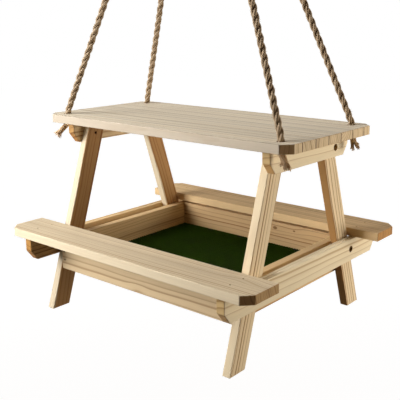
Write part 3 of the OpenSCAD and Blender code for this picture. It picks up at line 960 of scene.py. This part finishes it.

# %% [markdown]
# Now each board gets its wood. The width of the rings follows the board on the real feeder,
# and the pith's place says how the board was sawn: far out over the wide face for straight
# lines there, or near it for arches and a dark heart. The shades follow the board on the real
# feeder too, but the boards that sit in shade get darker, browner shades, which are painted
# shade, and the legs' dark heartwood lies on their shaded inner faces, which is partly
# painted shade.

# %% Wood for every board
SLOPE = radians(17.5)
X, Y, Z = (1, 0, 0), (0, 1, 0), (0, 0, 1)
CREAM = ("#ebdbb8", "#b08d5a", "#d8c4a2")
GREY = ("#eee1c6", "#b2925f", "#ecdfca")
GOLD = ("#e8d3ac", "#8f6230", "#dccbae")
BUFF = ("#deccaa", "#a57f4e", "#c2ac89")
STRAW = ("#d4c3a3", "#9b7646", "#bfa985")
# SHADED_WHEAT, SHADED_HONEY and SHADED_RUSSET are darker, browner copies of the pine for the boards that
# sit in shade under the top and at the left end: painted shade
SHADED_WHEAT = ("#dfc59a", "#8a592a", "#cbb085")
SHADED_HONEY = ("#dfbe8b", "#8a592a", "#cbb085")
SHADED_RUSSET = ("#caa878", "#7f4f27", "#c5ae89")


def leg_ways(sy):
    """The grain and width directions of a leg on the side sy."""
    return (0, sy * sin(SLOPE), -cos(SLOPE)), (0, sy * cos(SLOPE), sin(SLOPE))


# name: (grain, across the face, pith from the middle, ring width, shades, strength, more)
BOARDS = {
    "table_top": (X, Y, (70, 35), 4.2, GREY, 0.95, {"strips": 204 / 7}),
    "top_cleat_left": (Y, Z, (-95, 30), 7.0, SHADED_WHEAT, 0.9, {}),
    "top_cleat_right": (Y, Z, (-110, 25), 9.0, CREAM, 0.9, {}),
    # heartwood lies on the legs' shaded inner faces: partly painted shade
    "leg_front_left": (*leg_ways(-1), (-25, -26), 5.6, STRAW, 1.0, {"heart": 44.0}),
    "leg_front_right": (*leg_ways(-1), (-78, 14), 6.2, GOLD, 1.3, {}),
    "leg_back_left": (*leg_ways(1), (25, 26), 6.0, BUFF, 1.0, {"heart": 44.0}),
    "leg_back_right": (*leg_ways(1), (-30, 0), 6.4, GOLD, 1.3, {"heart": 18.5}),
    "cross_brace_left": (Y, Z, (85, 20), 6.5, SHADED_HONEY, 0.8, {}),
    "cross_brace_right": (Y, Z, (-120, 24), 9.5, CREAM, 0.75, {}),
    "bench_front": (X, Y, (95, 22), 4.6, BUFF, 0.8, {"knots": [(180, 14, 0, 6)]}),
    "bench_back": (X, Y, (-88, 20), 8.0, SHADED_HONEY, 0.8, {}),
    "tray_side_front": (X, Z, (110, 30), 9.0, SHADED_WHEAT, 0.6, {"knots": [(-3, -17, 0, 4)]}),
    "tray_side_back": (X, Z, (-90, 26), 7.2, SHADED_RUSSET, 0.9, {
        "knots": [(43, 15, 2.4, 5), (79, 16, 1.3, 4)]}),
    "tray_end_left": (Y, Z, (88, 22), 4.6, SHADED_HONEY, 0.8, {}),
    "tray_end_right": (Y, Z, (-78, 22), 5.5, SHADED_HONEY, 0.8, {}),
    "batten_front": (X, Z, (40, 20), 4.0, GOLD, 0.7, {}),
    "batten_back": (X, Z, (-44, 20), 4.0, GOLD, 0.7, {}),
    "batten_left": (Y, Z, (42, 20), 4.0, GOLD, 0.7, {}),
    "batten_right": (Y, Z, (-40, 20), 4.0, GOLD, 0.7, {}),
}

for place, (node, (along, across, pith, year, shades, strength, more)) in enumerate(BOARDS.items()):
    low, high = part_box(node)
    wood = pine(node + "_pine", (low + high) / 2, along, across, pith, year, shades, strength,
                seed=place + 1.0, **more)
    sawn = node.startswith("batten")
    mesh = eased_board(node, EASED / 3 if sawn else EASED)
    mesh.materials.clear()
    mesh.materials.append(wood)
    piece("dressed_" + node, mesh, [node])
panel = bpy.data.objects["dressed_table_top"].data
print(len(BOARDS), "boards dressed, the table top with", len(panel.polygons), "faces")

# %% [markdown]
# ## The screen
# The tray's floor is woven from coated wire. Warp and weft pass over and under each
# other, so each wire is a zigzag, and its neighbour the same zigzag half a step on. One
# tree weaves it: a line of points is bent up and down, swept with a three-sided profile
# and repeated across, with every second wire turned over.

# %% Weaving the screen
def woven_wires(add, take):
    """Wires along X repeated over Y, each bent over and under the crossing ones."""
    # 1 for every second point, or every second wire
    second = add("Math MODULO", [add("InputIndex"), 2.0])
    dots = add("MeshLine", {"Count": take["Dots"], "Offset": add("CombineXYZ", {"X": take["Pitch"]})})
    wire = add("MeshToCurve", {"Mesh": dots})
    bend = add("Math SUBTRACT", [second, 0.5])
    lift = add("Math MULTIPLY", [bend, take["Wire"]])
    wire = add("SetPosition", {"Geometry": wire, "Offset": add("CombineXYZ", {"Z": lift})})
    profile = add("CurvePrimitiveCircle", {"Resolution": 3, "Radius": take["Radius"]})
    wire = add("CurveToMesh", {"Curve": wire, "Profile Curve": profile, "Fill Caps": True})
    row = add("MeshLine", {"Count": take["Wires"], "Offset": add("CombineXYZ", {"Y": take["Pitch"]})})
    over = add("Math MULTIPLY", [second, pi])
    wires = add("InstanceOnPoints", {
        "Points": row, "Instance": wire, "Rotation": add("CombineXYZ", {"X": over})})
    return add("Transform", [wires, take["Place"], take["Turn"]])


COAT_PATCH = 20 * MM


def coated_wire():
    """Polyester-coated wire: dark green, smooth, a little uneven from the dip."""
    material, add = new_material("coated_wire")
    place = add("TexCoord", out="Object")
    # the coat varies from patch to patch, and dust dulls it in places
    uneven = add("TexNoise", {"Vector": place, "Scale": 1 / COAT_PATCH, "Detail": 3.0})
    colour = add("ValToRGB", {"Fac": uneven}, stops=[(0.3, "#1f3003"), (0.7, "#263c04")])
    add("OutputMaterial", [add("BsdfPrincipled", {
        "Base Color": colour, "Specular IOR Level": 0.02,
        "Roughness": add("MapRange", [uneven, 0, 1, 0.5, 0.7])})])
    return material


MESH_PITCH = 2.4 * MM
MESH_WIRE = 1.15 * MM
WEAVE = geometry_tree(
    woven_wires, Geometry="Start", Int="Dots Wires", Float="Pitch Wire Radius", Vector="Place Turn")
GREEN_WIRE = coated_wire()


def woven_screen():
    """Warp and weft wires over the whole of the CAD screen."""
    low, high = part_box("tray_screen")
    size = high - low
    shape = bmesh.new()
    for length, width, turn in ((size.x, size.y, 0), (size.y, size.x, pi / 2)):
        steps, rows = int(length / MESH_PITCH), int(width / MESH_PITCH)
        corner = Matrix.Rotation(turn, 3, "Z") @ Vector((-steps, -rows, 0)) * MESH_PITCH / 2
        wires = grow(
            WEAVE, bpy.data.meshes.new("start"), Dots=steps + 1, Wires=rows + 1, Pitch=MESH_PITCH,
            Wire=MESH_WIRE, Radius=MESH_WIRE / 1.5, Place=(*corner.xy, (low.z + high.z) / 2),
            Turn=(0, 0, turn), Material=GREEN_WIRE)
        shape.from_mesh(wires)
    mesh = mesh_from(shape)
    mesh.materials.append(GREEN_WIRE)
    return mesh


screen = piece("woven_screen", woven_screen(), ["tray_screen"])
print("screen:", len(screen.data.polygons), "faces")

# %% [markdown]
# ## Steel
# The screws, nails and staples are phosphated steel, which is a dark grey-brown coat, and
# hardly shines. The ring is bent from rod, welded and galvanised, which leaves a faint
# spangle of zinc crystals. Both come from one material: crystals of some size, each a
# little lighter or duller than its neighbour.

# %% Phosphated and galvanised steel
def plated(name, shade, rough, grain):
    """Plated steel with crystals of this size in mm and roughness from low to high."""
    material, add = new_material(name)
    place = add("TexCoord", out="Object")
    crystal = add("TexVoronoi", {"Vector": place, "Scale": 1 / (grain * MM)}, out="Color")
    level = add("SeparateXYZ", [crystal])
    tint = add("MapRange", [level, 0, 1, 0.82, 1.0])
    colour = add("VectorMath SCALE", {0: linear(shade)[:3], "Scale": tint})
    add("OutputMaterial", [add("BsdfPrincipled", {
        "Base Color": colour, "Metallic": 1.0,
        "Roughness": add("MapRange", [level, 0, 1, rough[0], rough[1]])})])
    return material


DARK = plated("phosphated_steel", "#2e2b28", (0.40, 0.60), 1.5)
GALVANISED = plated("galvanised_rod", "#8d9092", (0.30, 0.48), 4.0)
for node in ("bench_nails", "tray_nails", "batten_brads", "screen_staples", "hanging_ring"):
    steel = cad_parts[node]
    ring = node == "hanging_ring"
    steel.data.materials.clear()
    steel.data.materials.append(GALVANISED if ring else DARK)
print("steel:", DARK.name, GALVANISED.name)

# %% [markdown]
# All twelve screws are one screw, copied. It has a domed head with a cross recess, cut by
# two crossed bars, a plain core with a point, and a thread, which is a triangle swept
# along a spiral. One tree makes it and sets a copy on every point it is given, and each
# point carries the way that its screw is turned.

# %% One screw, copied
ROLL = 0.7


def wood_screws(add, take):
    """Cross-head wood screws on points, pointing down from the seat of the head."""
    head = add("MeshCylinder", {
        "Vertices": 24, "Fill Segments": 3, "Radius": take["Head"], "Depth": take["Rim"]})
    # the dome: the upper face rises by how far in from the edge it is
    place = add("InputPosition")
    flat = add("VectorMath MULTIPLY", [place, (1, 1, 0)])
    away = add("VectorMath LENGTH", [flat], out="Value")
    inwards = add("MapRange", [away, take["Head"], 0.0])
    dome = add("Math POWER", [inwards, 0.5])
    dome = add("Math MULTIPLY", [dome, take["Dome"]])
    height = add("SeparateXYZ", [place], out="Z")
    upper = add("Math GREATER_THAN", [height, 0.0])
    head = add("SetPosition", {
        "Geometry": head, "Selection": upper, "Offset": add("CombineXYZ", {"Z": dome})})
    head = add("Transform", [head, take["Rim_Middle"]])
    bar = add("MeshCube", [take["Bar"]])
    bars = [add("Transform", [bar, take["Bar_Middle"], (0, 0, turn)]) for turn in (0, pi / 2)]
    head = add("MeshBoolean DIFFERENCE", [head, add("JoinGeometry", [bars])])
    rod = add("MeshCylinder", {"Vertices": 16, "Radius": take["Core"], "Depth": take["Body"]})
    rod = add("Transform", [rod, take["Body_Middle"]])
    point = add("MeshCone", {
        "Vertices": 16, "Radius Top": take["Blunt"], "Radius Bottom": take["Core"],
        "Depth": take["Tip"]})
    point = add("Transform", [point, take["Body_End"], (pi, 0, 0)])
    spiral = add("CurveSpiral", {
        "Resolution": 16, "Rotations": take["Turns"], "Start Radius": take["Core"],
        "End Radius": take["Core"], "Height": take["Threaded"]})
    ridge = add("CurvePrimitiveCircle", {"Resolution": 3, "Radius": take["Ridge"]})
    thread = add("CurveToMesh", {"Curve": spiral, "Profile Curve": ridge, "Fill Caps": True})
    thread = add("Transform", [thread, take["Body_End"]])
    whole = add("JoinGeometry", [[thread, point, rod, head]])
    turn = add("InputNamedAttribute", {"Name": "turn"}, data_type="FLOAT_VECTOR")
    # each screw stopped at a turn of its own
    roll = add("Math MULTIPLY", [add("InputIndex"), ROLL])
    rotation = add("RotateRotation", {
        "Rotation": add("EulerToRotation", {"Euler": turn}),
        "Rotate By": add("CombineXYZ", {"Z": roll})}, rotation_space="LOCAL")
    return add("InstanceOnPoints", {
        "Points": take["Places"], "Instance": whole, "Rotation": rotation})


SCREWS = geometry_tree(
    wood_screws, Geometry="Places", Float="Head Rim Dome Core Tip Blunt Body Threaded Turns Ridge",
    Vector="Rim_Middle Bar Bar_Middle Body_Middle Body_End")
print("screw tree:", len(SCREWS.nodes), "nodes")

# %% [markdown]
# A screw's sizes follow from its head and its shank. Those in the cleats and the braces
# are driven inwards from the ends, and those in the top upwards from the cleats.

# %% Driven screws
HEAD = 8 * MM
HEAD_HEIGHT = 2.6 * MM
RIM = 0.6 * HEAD_HEIGHT
SHANK = 4.2 * MM
CORE = 0.36 * SHANK
BLUNT = 0.1 * CORE
RIDGE = 0.14 * SHANK
THREAD_PITCH = 1.8 * MM
THREADED = 0.8
CROSS = 1.1 * MM
SIDE_SCREWS = {"cleat_screws": 18.8 * MM, "brace_screws": 27 * MM}


def driven_screws(node):
    """The four screws of a node, each where its CAD solid is."""
    low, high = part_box(node)
    upright = node == "top_screws"
    y = high.y - HEAD / 2
    x = high.x - (HEAD / 2 if upright else HEAD_HEIGHT)
    z = low.z + HEAD_HEIGHT if upright else (low.z + high.z) / 2
    body = (high.z - z if upright else SIDE_SCREWS[node]) - SHANK
    places = [(sx * x, sy * y, z) for sx in (-1, 1) for sy in (-1, 1)]
    start = bpy.data.meshes.new("places")
    start.from_pydata(places, [], [])
    turn = start.attributes.new("turn", "FLOAT_VECTOR", "POINT")
    for spot, (sx, _, _) in zip(turn.data, places):
        spot.vector = (pi, 0, 0) if upright else (0, pi / 2 if sx > 0 else -pi / 2, 0)
    mesh = grow(
        SCREWS, start, Head=HEAD / 2, Rim=RIM, Rim_Middle=(0, 0, RIM / 2), Dome=HEAD_HEIGHT - RIM,
        Bar=(4 * CROSS, CROSS, HEAD_HEIGHT), Bar_Middle=(0, 0, HEAD_HEIGHT), Core=CORE, Tip=SHANK,
        Blunt=BLUNT, Body=body, Body_Middle=(0, 0, -body / 2), Body_End=(0, 0, -body),
        Threaded=THREADED * body, Turns=THREADED * body / THREAD_PITCH, Ridge=RIDGE, Material=DARK)
    return piece("threaded_" + node, mesh, [node])


for node in (*SIDE_SCREWS, "top_screws"):
    print(node, len(driven_screws(node).data.polygons), "faces")

# %% [markdown]
# The ring's rod was bent round and its ends welded. The weld is a low, rippled bead, a
# tube a little thicker than the rod, laid over the joint at the ring's side, where neither
# the hook nor the ropes bear.

# %% Weld bead
BEAD_REACH = radians(5.5)
BEAD_STEPS = 12
BEAD_RISE = 0.13
RIPPLE = 0.025


def weld_bead():
    """A rippled collar over the joint of the ring."""
    low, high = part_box("hanging_ring")
    middle = (low + high) / 2
    rod = (high.y - low.y) / 2
    radius = (high.x - low.x) / 2 - rod
    line, radii = [], []
    for k in range(BEAD_STEPS + 1):
        share = 2 * k / BEAD_STEPS - 1
        a = BEAD_REACH * share
        line.append(middle + radius * Vector((cos(a), 0, sin(a))))
        radii.append(rod * (0.98 + BEAD_RISE * (1 - share ** 2) + (RIPPLE if k % 2 else 0)))
    shape = bmesh.new()
    tube(shape, line, radii, 24)
    return piece("weld_bead", tubes(shape, GALVANISED), body="ring")


print("weld bead:", len(weld_bead().data.polygons), "faces")

# %% [markdown]
# The last cell prints the box of everything drawn, to set beside the CAD model's box printed
# at the start, so that the pieces can be seen to stay inside the CAD model's size.

# %% Sizes and finish
visual_box = [list(corner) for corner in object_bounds()]
print("visual box in mm:", [[round(value / MM, 1) for value in corner] for corner in visual_box])
